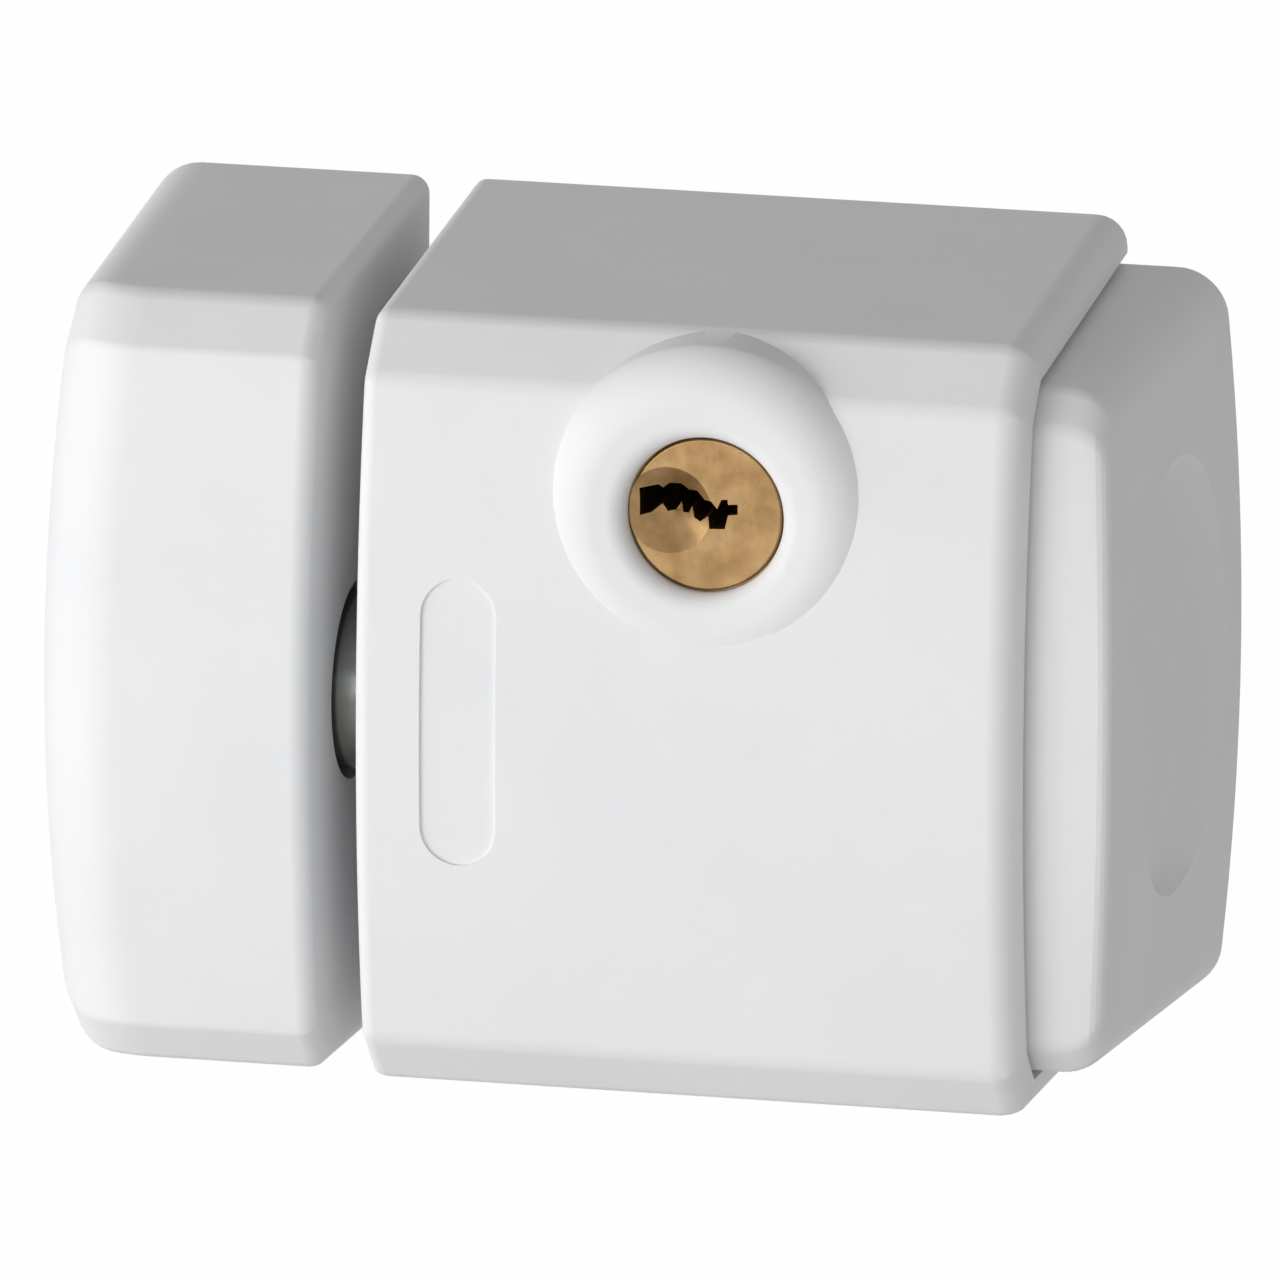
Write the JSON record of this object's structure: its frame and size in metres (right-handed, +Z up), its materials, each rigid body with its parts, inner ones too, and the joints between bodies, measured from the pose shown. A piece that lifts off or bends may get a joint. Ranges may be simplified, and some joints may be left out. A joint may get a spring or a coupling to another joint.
{
  "type": "window lock",
  "caption": "Surface-mounted window lock: a push-button case holds a round bolt in a box strike until a key in the brass cylinder lets it spring back; plain white shells.",
  "frame": {"origin": "on the mounting face, in the middle of the lock case", "axes": "+X along the bolt's axis, from the strike towards the button; +Y back into the window, square to the mounting face; +Z up, with the key cylinder in the upper half"},
  "size_m": [0.0886, 0.0418, 0.0652],
  "materials": {
    "white_shell": "smooth white, satin",
    "light_casting": "as cast, matte",
    "bolt_steel": "ground and lightly polished",
    "plated_steel": "bright zinc plating",
    "spring_steel": "tempered, slightly dark",
    "brass": "turned and fine brushed"
  },
  "bodies": {
    "case": {"lock_cover": "white_shell", "base_casting": "light_casting", "bolt_bushing": "brass", "stop_pin": "plated_steel", "catch_leaf": "spring_steel", "catch_rivets": "plated_steel", "cover_screws": "plated_steel", "cylinder_housing": "brass", "driver_pins": "plated_steel", "chamber_strip": "brass", "pin_springs": "spring_steel", "cylinder_screws": "plated_steel", "return_spring": "spring_steel", "strike_cover": "white_shell", "strike_block": "light_casting", "strike_liner": "bolt_steel", "strike_screws": "plated_steel"},
    "slider": {"push_button": "white_shell", "carriage": "light_casting", "bolt": "bolt_steel", "bolt_pin": "plated_steel", "button_screws": "plated_steel"},
    "plug": {"cylinder_plug": "brass", "key_pins": "brass", "plug_clip": "spring_steel", "release_cam": "plated_steel", "cam_screw": "plated_steel"}
  },
  "joints": [
    {"name": "button_slide", "type": "slide", "parent": "case", "child": "slider", "axis": [1, 0, 0], "range_m": [0, 0.013], "deforming": ["return_spring", "catch_leaf"]},
    {"name": "key_turn", "type": "hinge", "parent": "case", "child": "plug", "pos_m": [0.0013, 0, 0.0174], "axis": [0, 1, 0], "range_deg": [0, 90], "deforming": ["catch_leaf"]}
  ]
}
